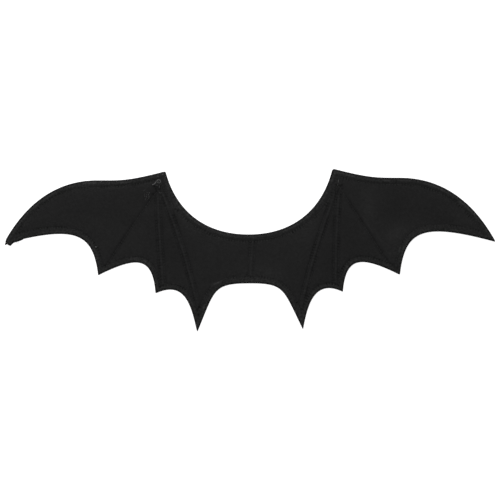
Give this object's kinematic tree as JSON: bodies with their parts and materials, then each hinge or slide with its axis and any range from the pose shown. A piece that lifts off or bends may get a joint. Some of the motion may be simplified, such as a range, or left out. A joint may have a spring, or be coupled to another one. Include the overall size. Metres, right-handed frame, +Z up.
{
  "type": "bat wings",
  "caption": "Flat black felt bat wings in one piece, with sewn rib channels, a scooped neck, a scalloped hem and fastener patches under the shoulders.",
  "frame": {"origin": "middle of the wings' outline box, on the surface that they lie on", "axes": "+X along the span to the right wing's tip, +Y towards the neck, +Z up from the surface to the viewer"},
  "size_m": [0.4806, 0.1574, 0.0058],
  "materials": {
    "felt": "matte black felt with a short, slightly fuzzy surface",
    "hook_tape": "matte black hook-and-loop tape"
  },
  "bodies": {
    "root": {"back_panel": "felt", "front_panel": "felt", "fastener_patch_left": "hook_tape", "fastener_patch_right": "hook_tape"}
  },
  "joints": []
}
